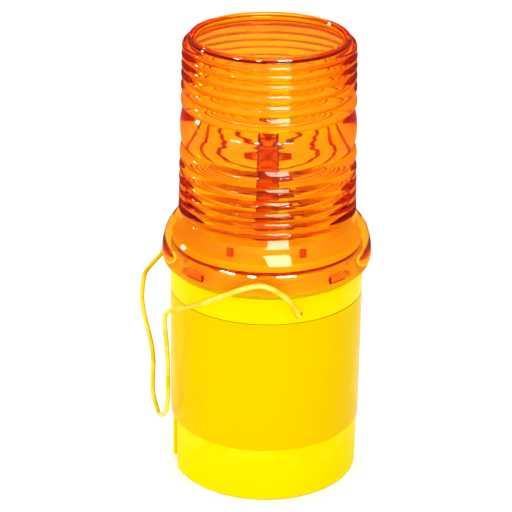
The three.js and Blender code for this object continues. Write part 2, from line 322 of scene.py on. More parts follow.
class Nodes:
    """Short calls for building one material's node tree."""

    def __init__(self, name):
        self.material = bpy.data.materials.new(name)
        self.material.use_nodes = True
        self.tree = self.material.node_tree
        self.shader = self.tree.nodes["Principled BSDF"]
        self.output = self.tree.nodes["Material Output"]
        self.coords = self.new("ShaderNodeTexCoord").outputs["Object"]

    def new(self, kind, **values):
        """A new node, with plain values for sockets whose names are single words."""
        node = self.tree.nodes.new(kind)
        for key, value in values.items():
            node.inputs[key].default_value = value
        return node

    def link(self, a, b):
        self.tree.links.new(a, b)

    def mapped(self, scale, rotation=(0, 0, 0)):
        node = self.new("ShaderNodeMapping", Scale=scale, Rotation=rotation)
        self.link(self.coords, node.inputs["Vector"])
        return node.outputs["Vector"]

    def noise(self, scale, detail=3.0, rough=0.55, vector=None):
        node = self.new("ShaderNodeTexNoise", Scale=scale, Detail=detail, Roughness=rough)
        self.link(vector or self.coords, node.inputs["Vector"])
        return node.outputs["Fac"]

    def cells(self, scale):
        node = self.new("ShaderNodeTexVoronoi", Scale=scale)
        self.link(self.coords, node.inputs["Vector"])
        return node.outputs["Distance"]

    def remap(self, value, low, high, to_low=0.0, to_high=1.0):
        node = self.new("ShaderNodeMapRange")
        node.inputs["From Min"].default_value = low
        node.inputs["From Max"].default_value = high
        node.inputs["To Min"].default_value = to_low
        node.inputs["To Max"].default_value = to_high
        self.link(value, node.inputs["Value"])
        return node.outputs["Result"]

    def math(self, operation, *terms):
        node = self.new("ShaderNodeMath")
        node.operation = operation
        for socket, value in zip(node.inputs, terms):
            if isinstance(value, (int, float)):
                socket.default_value = value
            else:
                self.link(value, socket)
        return node.outputs["Value"]

    def mix(self, factor, a, b):
        node = self.new("ShaderNodeMix")
        node.data_type = "RGBA"
        self.link(factor, node.inputs["Factor"])
        for socket, value in ((node.inputs[6], a), (node.inputs[7], b)):
            if isinstance(value, tuple):
                socket.default_value = (*value, 1.0)
            else:
                self.link(value, socket)
        return node.outputs[2]

    def mix_shaders(self, factor, a, b):
        node = self.new("ShaderNodeMixShader")
        if isinstance(factor, float):
            node.inputs["Fac"].default_value = factor
        else:
            self.link(factor, node.inputs["Fac"])
        self.link(a, node.inputs[1])
        self.link(b, node.inputs[2])
        return node.outputs["Shader"]

    def bump(self, height, strength, distance, normal=None):
        node = self.new("ShaderNodeBump", Strength=strength, Distance=distance)
        self.link(height, node.inputs["Height"])
        if normal:
            self.link(normal, node.inputs["Normal"])
        return node.outputs["Normal"]

    def worn_edges(self):
        """1 on the sharpest outer edges, 0 on flat faces."""
        return self.remap(self.new("ShaderNodeNewGeometry").outputs["Pointiness"], 0.505, 0.56)

    def split(self):
        node = self.new("ShaderNodeSeparateXYZ")
        self.link(self.coords, node.inputs["Vector"])
        return node.outputs

    def finish(self, base, roughness, normal, shine):
        """Links what a plain plastic surface needs."""
        self.link(base, self.shader.inputs["Base Color"])
        self.link(roughness, self.shader.inputs["Roughness"])
        self.link(normal, self.shader.inputs["Normal"])
        self.shader.inputs["IOR"].default_value = 1.5
        self.shader.inputs["Specular IOR Level"].default_value = shine
        return self.material


def scratches(n, scale, rotation, density):
    """Thin long marks: noise stretched along one direction and cut off high."""
    lines = n.noise(1.0, 2.0, 0.5, n.mapped((scale, scale * 0.03, scale * 0.03), rotation))
    patches = n.noise(scale * 0.05, 2.0)
    return n.math("MULTIPLY", n.remap(lines, density, density + 0.02), n.remap(patches, 0.5, 0.62))


def plastic(name, colour, shade, rough=0.38, wear=None, grain=900.0, grain_depth=0.00003,
            scuff=0.5, shine=0.5, paint=None):
    """Moulded plastic: cloudy colour, fine moulded grain, scuffs and rubbed edges.

    paint(n, base) can change the base colour where something is coloured differently.
    """
    n = Nodes(name)
    base = n.mix(n.remap(n.noise(24.0, 4.0), 0.3, 0.7), colour, shade)
    marks = scratches(n, 700.0, (0.3, 0.5, 0.9), 0.68)
    marks = n.math("MAXIMUM", marks, scratches(n, 900.0, (1.1, 0.2, 2.1), 0.7))
    pale = tuple(min(1.0, c * 1.05 + 0.04) for c in colour)
    base = n.mix(n.math("MULTIPLY", marks, 0.35 * scuff), base, pale)
    if wear:
        rub = n.math("MULTIPLY", n.worn_edges(), n.remap(n.noise(90.0, 3.0), 0.42, 0.6))
        base = n.mix(n.math("MULTIPLY", rub, 0.8), base, wear)
    if paint:
        base = paint(n, base)
    smear = n.remap(n.noise(38.0, 5.0), 0.3, 0.7, rough - 0.05, rough + 0.08)
    roughness = n.math("ADD", smear, n.math("MULTIPLY", marks, 0.15))
    normal = n.bump(n.noise(grain, 3.0, 0.6), 0.35, grain_depth)
    normal = n.bump(n.math("SUBTRACT", 1.0, marks), 0.25 * scuff, 0.00002, normal)
    return n.finish(base, roughness, normal, shine)


def metal(name, colour, shade, rough, tarnish):
    """Bare or plated metal: cloudy tarnish, spots, uneven roughness."""
    n = Nodes(name)
    base = n.mix(n.remap(n.noise(60.0, 4.0), 0.35, 0.7), colour, shade)
    spots = n.remap(n.noise(190.0, 5.0, 0.6), 0.55, 0.75)
    base = n.mix(n.math("MULTIPLY", spots, 0.6), base, tarnish)
    fine = n.noise(1.0, 3.0, 0.6, n.mapped((1500.0, 1500.0, 1500.0)))
    n.link(base, n.shader.inputs["Base Color"])
    n.link(n.remap(fine, 0.3, 0.7, rough - 0.08, rough + 0.12), n.shader.inputs["Roughness"])
    n.link(n.bump(fine, 0.2, 0.00002), n.shader.inputs["Normal"])
    n.shader.inputs["Metallic"].default_value = 1.0
    return n.material


CLEAR_IOR = 1.49
HEAD_ON_MIRROR = 0.034
GRAZING_MIRROR = 0.16
SCATTERED_SHARE = 0.055


def amber(name, absorb, density, glow, rough=0.03, ripple=0.15, dust=0.12):
    """Clear coloured plastic, whose colour comes from its thickness.

    absorb and density set what the inside takes from the light, and glow is the colour of the little
    light that the plastic scatters. The outside mirrors less at a grazing angle than bare glass does,
    as a slightly dull moulding. It has moulding ripples and rings, faint dust and rubs.
    """
    n = Nodes(name)
    tint = n.mix(n.remap(n.noise(30.0, 4.0), 0.35, 0.75), (1.0, 0.97, 0.9), (1.0, 0.94, 0.82))
    marks = scratches(n, 620.0, (0.9, 0.4, 0.2), 0.68)
    haze = n.remap(n.noise(45.0, 5.0, 0.6), 0.35, 0.8, rough * 0.4, rough * 2.2)
    haze = n.math("ADD", haze, n.math("MULTIPLY", marks, dust))
    rings = n.math("MULTIPLY", n.split()["Z"], 2300.0)
    rings = n.math("ADD", rings, n.math("MULTIPLY", n.noise(25.0, 1.0), 5.0))
    normal = n.bump(n.noise(95.0, 2.0, 0.4), ripple, 0.0001)
    normal = n.bump(n.math("SINE", rings), ripple * 0.5, 0.00002, normal)
    normal = n.bump(n.math("SUBTRACT", 1.0, marks), 0.12, 0.00002, normal)

    bend = n.new("ShaderNodeBsdfRefraction", IOR=CLEAR_IOR)
    n.link(tint, bend.inputs["Color"])
    mirror = n.new("ShaderNodeBsdfGlossy")
    for shader in (bend, mirror):
        n.link(haze, shader.inputs["Roughness"])
        n.link(normal, shader.inputs["Normal"])
    fresnel = n.new("ShaderNodeFresnel", IOR=CLEAR_IOR)
    n.link(normal, fresnel.inputs["Normal"])
    grazing = n.math("MULTIPLY", fresnel.outputs["Fac"], GRAZING_MIRROR)
    share = n.new("ShaderNodeMix")
    n.link(n.new("ShaderNodeNewGeometry").outputs["Backfacing"], share.inputs[0])
    n.link(n.math("ADD", grazing, HEAD_ON_MIRROR), share.inputs[2])
    n.link(fresnel.outputs["Fac"], share.inputs[3])
    scattered = n.new("ShaderNodeBsdfDiffuse", Color=(*glow, 1.0))
    surface = n.mix_shaders(share.outputs[0], bend.outputs["BSDF"], mirror.outputs["BSDF"])
    surface = n.mix_shaders(SCATTERED_SHARE, surface, scattered.outputs["BSDF"])
    n.link(surface, n.output.inputs["Surface"])
    n.tree.nodes.remove(n.shader)
    inside = n.new("ShaderNodeVolumeAbsorption", Color=(*absorb, 1.0), Density=density)
    n.link(inside.outputs["Volume"], n.output.inputs["Volume"])
    return n.material


def sheeting():
    """Reflective sheeting: a satin face over fine glass beads, with small creases and specks."""
    n = Nodes("band_sheeting")
    beads = n.cells(2600.0)
    base = n.mix(n.remap(n.noise(18.0, 4.0), 0.3, 0.7), (0.54, 0.315, 0.0012), (0.525, 0.303, 0.001))
    base = n.mix(n.remap(beads, 0.0, 0.7), (0.57, 0.34, 0.003), base)
    specks = n.remap(n.cells(150.0), 0.0, 0.055, 1.0, 0.0)
    specks = n.math("MULTIPLY", specks, n.remap(n.noise(40.0, 2.0), 0.6, 0.66))
    base = n.mix(specks, base, (0.35, 0.2, 0.01))
    roughness = n.remap(n.noise(70.0, 4.0), 0.3, 0.7, 0.3, 0.42)
    normal = n.bump(beads, 0.12, 0.00003)
    normal = n.bump(n.noise(55.0, 3.0), 0.12, 0.0002, normal)
    return n.finish(base, roughness, normal, 0.12)


def laminate():
    """Circuit board: brown laminate with faint tracks showing through and a few soldered holes."""
    n = Nodes("board_laminate")
    tracks = n.new("ShaderNodeTexBrick", Scale=420.0)
    tracks.inputs["Mortar Size"].default_value = 0.02
    tracks.inputs["Color1"].default_value = (0.52, 0.28, 0.09, 1)
    tracks.inputs["Color2"].default_value = (0.48, 0.25, 0.08, 1)
    tracks.inputs["Mortar"].default_value = (0.6, 0.38, 0.16, 1)
    n.link(n.coords, tracks.inputs["Vector"])
    base = n.mix(n.remap(n.noise(80.0, 4.0), 0.35, 0.65), tracks.outputs["Color"], (0.42, 0.21, 0.06))
    holes = n.remap(n.cells(260.0), 0.0, 0.16, 1.0, 0.0)
    solder = n.math("MULTIPLY", holes, n.remap(n.noise(120.0, 1.0), 0.54, 0.58))
    base = n.mix(solder, base, (0.6, 0.6, 0.58))
    roughness = n.remap(n.noise(200.0, 3.0), 0.3, 0.7, 0.25, 0.4)
    height = n.math("ADD", n.math("MULTIPLY", tracks.outputs["Fac"], -0.5), solder)
    return n.finish(base, roughness, n.bump(height, 0.3, 0.00005), 0.5)


def brown_tabs(n, base):
    """Colours the deck's small tabs, which stand above its flange and outside its raised middle."""
    place = n.split()
    squares = [n.math("MULTIPLY", place[axis], place[axis]) for axis in "XY"]
    outside = n.math("GREATER_THAN", n.math("SQRT", n.math("ADD", *squares)), 0.0412)
    above = n.math("GREATER_THAN", place["Z"], 0.1342)
    return n.mix(n.math("MULTIPLY", outside, above), base, (0.36, 0.05, 0.006))


case_yellow = plastic("case_yellow_plastic", (0.6, 0.44, 0.0015), (0.59, 0.428, 0.0012), 0.36,
                      (0.75, 0.6, 0.08), shine=0.1)
slider_yellow = plastic("slider_plastic", (0.85, 0.6, 0.01), (0.8, 0.55, 0.008), 0.42, (0.9, 0.8, 0.3))
wire_yellow = plastic("wire_coating", (0.5, 0.33, 0.004), (0.47, 0.3, 0.003), 0.28, (0.93, 0.8, 0.25),
                      grain=1400.0, scuff=0.8)
rubber_red = plastic("gasket_rubber", (0.25, 0.012, 0.006), (0.2, 0.01, 0.005), 0.55, grain=1600.0, scuff=0.3)
deck_yellow = plastic("deck_plastic", (0.72, 0.5, 0.008), (0.68, 0.46, 0.006), 0.34, (0.8, 0.6, 0.15),
                      paint=brown_tabs)
battery_blue = plastic("battery_jacket_sleeve", (0.03, 0.07, 0.28), (0.02, 0.05, 0.22), 0.3,
                       (0.4, 0.45, 0.55))
battery_black = plastic("battery_top_plastic", (0.015, 0.015, 0.017), (0.03, 0.03, 0.032), 0.42,
                        (0.2, 0.2, 0.2))
parts_dark = plastic("component_brown", (0.2, 0.035, 0.015), (0.15, 0.028, 0.014), 0.4, (0.4, 0.2, 0.1))
parts_tan = plastic("component_tan", (0.6, 0.4, 0.2), (0.5, 0.32, 0.15), 0.35)
foam_grey = plastic("foam_pad", (0.12, 0.125, 0.13), (0.07, 0.075, 0.08), 0.9, grain=1100.0,
                    grain_depth=0.0006, scuff=0.1)
lens_amber = amber("lens_amber_plastic", (0.9996, 0.938, 0.0), 1700.0, (0.92, 0.11, 0.0))
lamp_clear = amber("lamp_plastic", (0.85, 0.4, 0.0), 1000.0, (0.8, 0.15, 0.01), 0.05, 0.05, 0.0)
steel = metal("plated_steel", (0.62, 0.63, 0.65), (0.48, 0.49, 0.5), 0.26, (0.3, 0.26, 0.2))
brass = metal("contact_brass", (0.78, 0.55, 0.22), (0.62, 0.4, 0.14), 0.24, (0.25, 0.14, 0.06))
band_yellow = sheeting()
board_tan = laminate()


# ---------------------------------------------------------------- lens

# Levels of the grooves between the ribs, from the top groove down, above and below the smooth belt
UPPER = [231.3, 226.3, 221.2, 215.7, 209.0, 201.3]
LOWER = [181.6, 173.1, 166.3, 160.6, 155.4, 150.4, 145.4]
RIB_DEPTH = 1.6
BELT_DEPTH = 1.55
RIB_SHARPNESS = 2.4
DRUM_R = 46.0
DRUM_TAPER = 2.1 / 86.0
DRUM_FOOT = 147.0
LENS_TOP = 238.2
DISC_TOP = 236.0
DISC_BOTTOM = 233.4
SKIRT_BOTTOM = 119.2
LUG_BOTTOM = 121.4
LUG_TOP = 124.6


def crest_radius(z):
    """The drum narrows a little towards its top."""
    return DRUM_R - DRUM_TAPER * (z - DRUM_FOOT)


def rib(low, high, depth=RIB_DEPTH, steps=12):
    """Points up one rib, full in the middle and falling steeply into the groove at each end."""
    out = []
    for k in range(1, steps + 1):
        t = 2 * k / steps - 1
        z = low + (high - low) * k / steps
        out.append((crest_radius(z) - depth * abs(t) ** RIB_SHARPNESS, z))
    return out


def lens_outside():
    """The lens's outline from the skirt's foot up to the middle of the top."""
    out = [(SKIRT_BORE_R, SKIRT_BOTTOM), (53.5, SKIRT_BOTTOM), (53.9, 119.35)]
    out += spline([
        (54.1, 119.8), (54.42, 121.6), (54.5, 124.0), (54.2, 127.5), (53.65, 130.2),
        (52.8, 133.2), (51.35, 136.4), (49.1, 139.5), (46.4, 142.0), (44.45, LOWER[-1]),
    ], 5)
    for low, high in zip(LOWER[:0:-1], LOWER[-2::-1]):
        out += rib(low, high)
    out += rib(LOWER[0], UPPER[-1], BELT_DEPTH, 24)
    for low, high in zip(UPPER[:0:-1], UPPER[-2::-1]):
        out += rib(low, high)
    out += spline([
        (crest_radius(UPPER[0]) - RIB_DEPTH, UPPER[0]), (43.6, 232.5), (43.65, 233.6), (43.1, 234.6),
        (41.8, 235.2), (40.75, 235.65), (40.4, 236.4), (40.25, 237.3),
    ], 5)[1:]
    out += fillet([
        (40.25, 237.3), (40.1, LENS_TOP, 0.6), (37.6, LENS_TOP, 0.6), (37.1, DISC_TOP, 0.8),
        (30.0, DISC_TOP), (0.0, DISC_TOP),
    ], 5)[1:]
    return out


def lens_inside():
    """The hollow's outline from the middle of the top down to above the lugs."""
    out = fillet([(0.0, DISC_BOTTOM), (37.6, DISC_BOTTOM, 2.0), (39.5, 230.6), (40.4, 189.0)], 6)
    out += spline([
        (41.75, 146.5), (42.0, 144.0), (42.9, 142.1), (44.9, 140.1), (47.2, 137.9), (49.1, 135.3),
        (50.4, 132.4), (51.15, 129.7), (SKIRT_BORE_R, 127.6),
    ], 5)
    return out + [(SKIRT_BORE_R, 126.0)]


def lug_outline():
    """The lugs' outline, from the bottom up, marked so that lens_reach draws it in only at the lugs."""
    foot = (SKIRT_BORE_R, LUG_BOTTOM)
    head = (SKIRT_BORE_R, LUG_TOP)
    rounded = fillet([foot, (LUG_R, LUG_BOTTOM, 1.1), (LUG_R, LUG_TOP, 1.1), head], 5)[1:-1]
    return [(r, z, "lug") for r, z in [foot, *rounded, head]]


def lens_reach(point, angle, side):
    if len(point) < 3:
        return point[0]
    inside = max(LUG_HALF - abs(turn_between(angle, turn)) for turn in LUG_TURNS)
    t = min(max(inside / LUG_RAMP, 0.0), 1.0)
    return SKIRT_BORE_R - (SKIRT_BORE_R - point[0]) * t * t * (3 - 2 * t)


lens_angles = [360 * k / 240 for k in range(240)]
for turn in LUG_TURNS:
    for k in range(7):
        lens_angles += [(turn + sign * (LUG_HALF - 0.4 * k)) % 360 for sign in (-1, 1)]
lens_columns = [(angle, 0) for angle in sorted(set(lens_angles))]
lens_profile = lens_outside()[::-1] + lug_outline() + lens_inside()[::-1]
lens = add_object("lens_moulding", turned(lens_profile, angles=lens_columns, radius=lens_reach), 38)
dress(lens, lens_amber, "lens_body", "lens")


# ---------------------------------------------------------------- case

CASE_R = 49.75
CASE_BORE_R = 47.1
CASE_MOUTH_R = 47.9
CASE_FLOOR = 2.8
SHOULDER_BOTTOM = 102.4
FLANGE_BOTTOM = 125.4
CASE_TOP = 128.0
FLAT_SPAN = 45
CASE_CREASE = 32


def marked(points, mark):
    return [(p[0], p[1], mark) for p in points]


def case_outside():
    """The case's outline from the middle of its foot up to its mouth."""
    out = [(0.0, 0.0), (40.0, 0.0), (41.0, 0.5), (43.5, 0.5), (44.5, 0.0)]
    out += fillet([(47.4, 0.0), (49.4, 0.0, 2.2), (49.5, 6.0)], 7)[1:]
    out += [(49.62, 14.0), (49.95, 29.6), (CASE_R, 29.9), (CASE_R, 60.0), (CASE_R, 95.9)]
    out = marked(out + [(CASE_R, FLAT_TOP)], "flat") + [(CASE_R, FLAT_TOP), (CASE_R, SHOULDER_BOTTOM)]
    out += fillet([
        (CASE_R, SHOULDER_BOTTOM), (50.4, SHOULDER_BOTTOM, 0.3), (50.4, 116.0, 0.7),
        (FLANGE_NECK_R, 117.4, 0.8), (FLANGE_NECK_R, FLANGE_BOTTOM),
    ], 5)[1:]
    flange = fillet([
        (FLANGE_NECK_R, FLANGE_BOTTOM), (FLANGE_R, FLANGE_BOTTOM, 0.3), (FLANGE_R, CASE_TOP, 0.5),
        (CASE_MOUTH_R, CASE_TOP),
    ], 4)
    return out + marked(flange, "notch")


def case_inside():
    """The bore's outline from the mouth down to the middle of the floor."""
    out = fillet([
        (CASE_MOUTH_R, CASE_TOP), (45.9, CASE_TOP, 0.5), (45.9, 113.5, 1.5),
        (CASE_BORE_R, 111.0, 1.5), (CASE_BORE_R, 96.0),
    ], 5)
    low = fillet([(CASE_BORE_R, 60.0), (CASE_BORE_R, CASE_FLOOR, 2.4), (40.0, CASE_FLOOR)], 5)
    low = [(CASE_BORE_R, 95.0)] + low
    return out + [(CASE_BORE_R, 95.0)] + marked(low, "bore") + [(0.0, CASE_FLOOR)]


def case_reach(point, angle, side):
    """Draws the case in at its flat side, and the flange at its notches."""
    r = point[0]
    kind = point[2] if len(point) > 2 else ""
    off = turn_between(angle, FLAT_TURN)
    if kind == "flat" and abs(off) < FLAT_SPAN:
        return min(r, FLAT_DIST / math.cos(math.radians(off)))
    if kind == "bore" and abs(off) < FLAT_SPAN:
        return min(r, FLAT_BORE_DIST / math.cos(math.radians(off)))
    if kind == "notch" and any(within(angle, side, turn, NOTCH_HALF) for turn in LUG_TURNS):
        return FLANGE_NECK_R
    return r


case_cuts = [turn + sign * NOTCH_HALF for turn in LUG_TURNS for sign in (-1, 1)]
case_bm = turned(case_outside() + case_inside(), angles=split_angles(320, case_cuts), radius=case_reach)
case = add_object("case_moulding", case_bm, CASE_CREASE)
rail_levels = soft_levels(RAIL_BOTTOM, FLAT_TOP - 0.02, 0.5)
rail_bm = slab((RAIL_DIST - RAIL_ROOT) / 2, RAIL_HALF, 0.8, rail_levels, steps=4)
rail_place = Matrix.Translation(((RAIL_DIST + RAIL_ROOT) / 2 * MM, 0, 0))
rail_bm.transform(Matrix.Rotation(math.radians(FLAT_TURN), 4, "Z") @ rail_place)
cut(case, add_object("rail_helper", rail_bm), CASE_CREASE, "UNION")
pivot_line = [(0, -0.06, PIVOT_Z * MM), (0, 0.06, PIVOT_Z * MM)]
cut(case, add_object("hole_helper", swept(pivot_line, PIVOT_R * MM, 32)), CASE_CREASE)
dress(case, case_yellow, "case_body", "case")


# ---------------------------------------------------------------- reflective band

band_profile = fillet([(50.05, 30.2), (50.45, 30.2, 0.12), (50.45, 102.1, 0.12), (50.05, 102.1)], 3)
band = add_object("band_sheet", turned(band_profile, 320), 40)
dress(band, band_yellow, "case_body", "reflective_band")


# ---------------------------------------------------------------- hanger

WIRE_R = 1.3

# One arm of the wire, from inside the case to the bottom of the U, where the other arm starts
ARM = [
    (0, 43.6, 106.4), (0, 50.6, 106.4), (-0.9, 52.9, 107.1), (-3.4, 55.0, 111.6), (-7.0, 57.1, 117.0),
    (-11.5, 58.3, 122.2), (-17.4, 57.7, 126.5), (-23.2, 56.0, 128.2), (-30.2, 52.3, 126.0),
    (-38.8, 44.4, 119.8), (-44.0, 37.4, 114.4), (-47.6, 33.4, 111.5), (-51.4, 30.6, 109.6),
    (-55.4, 27.8, 107.8), (-59.0, 24.4, 105.8), (-61.0, 21.2, 103.0), (-61.7, 20.7, 98.6),
    (-61.6, 22.0, 92.0), (-60.8, 21.4, 83.6), (-59.5, 18.0, 74.8), (-58.5, 15.0, 66.4),
    (-58.2, 13.9, 58.0), (-58.5, 14.1, 49.5), (-59.1, 12.4, 42.2),
]
hanger_path = [(x, -y, z) for x, y, z in ARM] + [(-59.4, 0, 34.6)] + ARM[::-1]


def wire_radius(share):
    """Full size along the wire, rounded at its two cut ends."""
    run = min(share, 1 - share) * 520.0
    return WIRE_R * MM * min(1.0, 0.55 + 0.45 * math.sqrt(min(1.0, run)))


hanger_line = [Vector(p) * MM for p in spline(hanger_path, 9)]
wire = add_object("hanger_coated_wire", swept(hanger_line, wire_radius, 24), 50)
dress(wire, wire_yellow, "hanger", "hanger_wire")


def washer(y, face):
    """Push-on retaining washer: flat rim, six sprung tongues that bite on the wire."""
    tongues = [60 * k for k in range(6)]
    half = 7

    def reach(point, angle, side):
        if len(point) > 2 and any(within(angle, side, tongue, half) for tongue in tongues):
            return 2.9
        return point[0]

    profile = [(2.9, 0.1), (4.0, 0.1), (4.2, 0.3), (4.2, 0.9), (4.0, 1.1), (2.9, 1.1)]
    profile += marked([(1.75, 1.2), (1.6, 1.0), (1.6, 0.7), (2.9, 0.1)], "tongue")
    cuts = [tongue + sign * half for tongue in tongues for sign in (-1, 1)]
    bm = turned(profile, angles=split_angles(72, cuts), radius=reach)
    spin = Matrix.Rotation(math.radians(90 * face), 4, "X")
    bm.transform(Matrix.Translation((0, y * MM, PIVOT_Z * MM)) @ spin)
    return bm


for label, y, face in (("front", -46.2, -1), ("back", 46.2, 1)):
    clip = add_object(f"retaining_washer_{label}", washer(y, face), 30)
    dress(clip, steel, "hanger", f"hanger_clip_{label}")


# ---------------------------------------------------------------- battery

BATTERY_CORNER = 6.0
TERMINAL_REACH = 31

pad = add_object("battery_foam", slab(28.0, 28.0, 4.0, soft_levels(3.1, 6.0, 0.6), turn=FLAT_TURN))
dress(pad, foam_grey, "case_body", "battery_pad")


def jacket_levels():
    """The jacket's levels, with a rolled groove near each end."""
    levels = soft_levels(6.3, 102.4, 0.8)
    grooves = [(start + step, inset) for start in (9.0, 97.6) for step, inset in
               ((0.0, 0.0), (0.3, 0.35), (1.1, 0.35), (1.4, 0.0))]
    half = len(levels) // 2
    return levels[:half] + grooves + levels[half:]


jacket_bm = slab(33.5, 33.5, BATTERY_CORNER, jacket_levels(), turn=FLAT_TURN, steps=12)
jacket = add_object("battery_sleeve", jacket_bm, 30)
dress(jacket, battery_blue, "case_body", "battery_jacket")
lid_bm = slab(33.0, 33.0, BATTERY_CORNER, soft_levels(102.7, 105.6, 0.7), turn=FLAT_TURN, steps=12)
lid = add_object("battery_lid", lid_bm, 30)
dress(lid, battery_black, "case_body", "battery_top")


def coil_line(x, y, low_r, high_r, bottom=105.9, top=120.8, turns=4, wire_r=0.6):
    """A conical spring's centre line, in metres, with its first and last half turns flat."""
    out = []
    total = turns * 36
    for i in range(total + 1):
        t = i / total
        a = 2 * math.pi * turns * t
        r = low_r + (high_r - low_r) * t
        rise = min(1.0, max(0.0, (t - 0.5 / turns) / (1 - 1.0 / turns)))
        z = bottom + wire_r + (top - bottom - 2 * wire_r) * rise
        out.append(Vector((x + r * math.cos(a), y + r * math.sin(a), z)) * MM)
    return out


corner = math.radians(FLAT_TURN + 45)
corner_x = TERMINAL_REACH * math.cos(corner)
corner_y = TERMINAL_REACH * math.sin(corner)
for label, line in (
    ("centre", coil_line(0.0, 0.0, 7.5, 3.6)),
    ("corner", coil_line(corner_x, corner_y, 6.2, 3.2)),
):
    spring = add_object(f"spring_{label}", swept(line, 0.6 * MM, 14), 50)
    dress(spring, steel, "case_body", f"terminal_spring_{label}")


# ---------------------------------------------------------------- lamp module

DECK_CREASE = 30

deck_profile = [
    (0.0, DECK_FOOT), (10.6, DECK_FOOT), (11.0, DECK_FOOT + 0.4), (11.0, DECK_BOTTOM),
    (25.0, DECK_BOTTOM), (25.0, DECK_FOOT + 0.4), (25.4, DECK_FOOT), (36.6, DECK_FOOT),
    (37.0, DECK_FOOT + 0.4), (37.0, DECK_BOTTOM),
]
deck_profile += fillet([
    (37.0, DECK_BOTTOM), (48.6, DECK_BOTTOM, 0.4), (48.6, DECK_FLANGE_TOP, 0.5),
    (36.0, DECK_FLANGE_TOP, 0.6), (36.0, 139.0, 1.0), (33.0, 139.0, 0.2), (32.6, 138.4, 0.2),
    (0.0, 138.4),
], 4)[1:]
deck = add_object("deck_moulding", turned(deck_profile, 192), DECK_CREASE)
tabs = []
for turn in (225.5, 275.5, 45.5, 95.5):
    tab = slab(1.0, 1.65, 0.35, soft_levels(133.2, 138.3, 0.3), steps=3)
    tab.transform(Matrix.Rotation(math.radians(turn), 4, "Z") @ Matrix.Translation((42.5 * MM, 0, 0)))
    tabs.append(tab)
cut(deck, add_object("tabs_helper", join(*tabs)), DECK_CREASE, "UNION")
dress(deck, deck_yellow, "module", "module_deck")


def flat_ring(inner, outer, bottom, top, edge, steps):
    """A flat ring's outline with its four edges rounded."""
    corners = [(inner, bottom, edge), (outer, bottom, edge), (outer, top, edge), (inner, top, edge)]
    return fillet(corners, steps)


seal = add_object("gasket_ring", turned(flat_ring(46.1, 48.4, 128.3, 129.7, 0.45, 5), 192), 50)
dress(seal, rubber_red, "module", "gasket")

ring_profile = flat_ring(26.0, 36.0, CONTACT_BOTTOM, CONTACT_TOP, 0.15, 3)
contact_ring = add_object("contact_ring_stamping", turned(ring_profile, 160), 40)
dress(contact_ring, brass, "module", "contact_ring")
disc_profile = [
    (0.0, CONTACT_BOTTOM + 0.05), (2.0, CONTACT_BOTTOM + 0.05), (2.4, CONTACT_BOTTOM),
    (8.8, CONTACT_BOTTOM), (9.0, CONTACT_BOTTOM + 0.2), (9.0, CONTACT_TOP - 0.2), (8.8, CONTACT_TOP),
    (0.0, CONTACT_TOP),
]
contact_disc = add_object("contact_disc_stamping", turned(disc_profile, 96), 40)
dress(contact_disc, brass, "module", "contact_disc")

board_profile = fillet([
    (0.0, BOARD_BOTTOM), (31.0, BOARD_BOTTOM, 0.15), (31.0, BOARD_TOP, 0.15), (0.0, BOARD_TOP),
], 2)
board = add_object("board_panel", turned(board_profile, 160), 40)
dress(board, board_tan, "module", "circuit_board")

tube_profile = fillet([
    (0.0, ON_BOARD), (7.2, ON_BOARD, 0.4), (7.2, 143.8, 0.6), (5.65, 145.6, 1.6), (5.5, 179.6, 0.6),
    (4.6, 179.6, 0.3), (4.5, 178.4), (4.6, 146.0, 0.6), (0.0, 146.0),
], 6)
tube = add_object("light_tube", turned(tube_profile, 96), 40)
dress(tube, lamp_clear, "module", "lamp_tube")

DOME_R = 3.7
DOME_FOOT = 180.0
DOME_RISE = 3.2
DOME_STEPS = 16
dome_profile = [(0.0, DOME_FOOT - 0.1), (DOME_R - 0.1, DOME_FOOT - 0.1), (DOME_R, DOME_FOOT)]
for k in range(1, DOME_STEPS):
    a = math.pi / 2 * k / DOME_STEPS
    dome_profile.append((DOME_R * math.cos(a), DOME_FOOT + DOME_RISE * math.sin(a)))
dome_profile.append((0.0, DOME_FOOT + DOME_RISE))
dome = add_object("light_dome", turned(dome_profile, 96), 35)
dress(dome, lamp_clear, "module", "lamp_dome")


# ---------------------------------------------------------------- parts on the board

sensor_profile = fillet([
    (0.0, ON_BOARD), (4.2, ON_BOARD, 0.2), (4.2, 144.2, 0.5), (3.4, 145.4, 0.3), (2.9, 145.4, 0.1),
    (2.7, 145.1), (0.0, 145.1),
], 4)
sensor = add_object("daylight_sensor_can", turned(sensor_profile, 64, centre=(-18, -14)), 35)
dress(sensor, parts_tan, "module", "daylight_sensor")

can_profile = fillet([
    (0.0, ON_BOARD), (4.8, ON_BOARD, 0.2), (5.0, 141.8, 0.3), (5.0, 142.8, 0.3), (4.7, 143.1, 0.2),
    (4.7, 143.4, 0.2), (5.0, 143.7, 0.3), (5.0, 153.2, 0.6), (4.1, 153.2, 0.1), (3.9, 153.0),
    (0.0, 153.0),
], 4)
capacitor = add_object("capacitor_can", turned(can_profile, 64, centre=(15, 15)), 35)
dress(capacitor, parts_dark, "module", "capacitor")


def pins(places, half, bottom, top):
    """Square pins of a chip or a transistor."""
    levels = [(bottom, 0.0), (top, 0.0)]
    return [slab(half, half, 0.1, levels, centre=place, steps=2) for place in places]


CHIP_CENTRE = (-3, 18.5)
PIN_PITCH = 2.54
chip_pins = [
    (CHIP_CENTRE[0] + x * PIN_PITCH, CHIP_CENTRE[1] + y)
    for y in (-2.9, 2.9) for x in (-0.5, 0.5, -1.5, 1.5)
]
chip_bm = slab(4.9, 2.7, 0.2, soft_levels(142.0, 144.6, 0.25), centre=CHIP_CENTRE, steps=3)
chip = add_object("flasher_chip_body", join(chip_bm, *pins(chip_pins, 0.25, ON_BOARD, 143.2)), 30)
dress(chip, parts_dark, "module", "flasher_chip")

